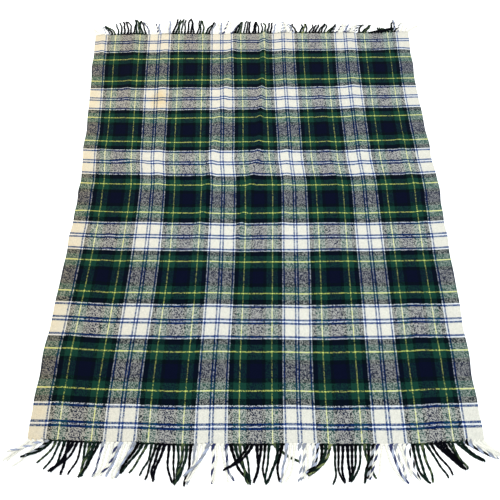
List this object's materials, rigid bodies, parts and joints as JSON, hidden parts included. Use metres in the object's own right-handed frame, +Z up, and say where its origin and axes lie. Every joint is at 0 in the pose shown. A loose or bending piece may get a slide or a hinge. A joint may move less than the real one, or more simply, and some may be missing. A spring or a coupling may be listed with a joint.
{
  "type": "throw blanket",
  "caption": "Rectangular woven wool throw in a large tartan check, with twisted tassels at both ends, lying open; it folds into thirds.",
  "frame": {"origin": "on the floor, under the middle of the open throw", "axes": "+Z up, +X to the right across the cloth, +Y from the foot edge to the head edge"},
  "size_m": [1.4442, 1.89, 0.004],
  "materials": {
    "tartan_cloth": "matte",
    "cream_yarn": "matte",
    "white_yarn": "matte",
    "dark_yarn": "matte"
  },
  "bodies": {
    "middle": {"cloth_middle_third": "tartan_cloth"},
    "foot_flap": {"cloth_foot_third": "tartan_cloth", "fringe_foot_edge_left": "cream_yarn", "fringe_foot_dark_1": "dark_yarn", "fringe_foot_white_1": "white_yarn", "fringe_foot_dark_2": "dark_yarn", "fringe_foot_white_2": "white_yarn", "fringe_foot_dark_3": "dark_yarn", "fringe_foot_white_3": "white_yarn", "fringe_foot_dark_4": "dark_yarn", "fringe_foot_white_4": "white_yarn", "fringe_foot_dark_5": "dark_yarn", "fringe_foot_edge_right": "cream_yarn"},
    "head_flap": {"cloth_head_third": "tartan_cloth", "fringe_head_edge_left": "cream_yarn", "fringe_head_dark_1": "dark_yarn", "fringe_head_white_1": "white_yarn", "fringe_head_dark_2": "dark_yarn", "fringe_head_white_2": "white_yarn", "fringe_head_dark_3": "dark_yarn", "fringe_head_white_3": "white_yarn", "fringe_head_dark_4": "dark_yarn", "fringe_head_white_4": "white_yarn", "fringe_head_dark_5": "dark_yarn", "fringe_head_edge_right": "cream_yarn"}
  },
  "joints": [
    {"name": "foot_fold", "type": "hinge", "parent": "middle", "child": "foot_flap", "pos_m": [0, -0.325, 0.009], "axis": [-1, 0, 0], "range_deg": [0, 180]},
    {"name": "head_fold", "type": "hinge", "parent": "middle", "child": "head_flap", "pos_m": [0, 0.325, 0.016], "axis": [1, 0, 0], "range_deg": [0, 180]}
  ]
}
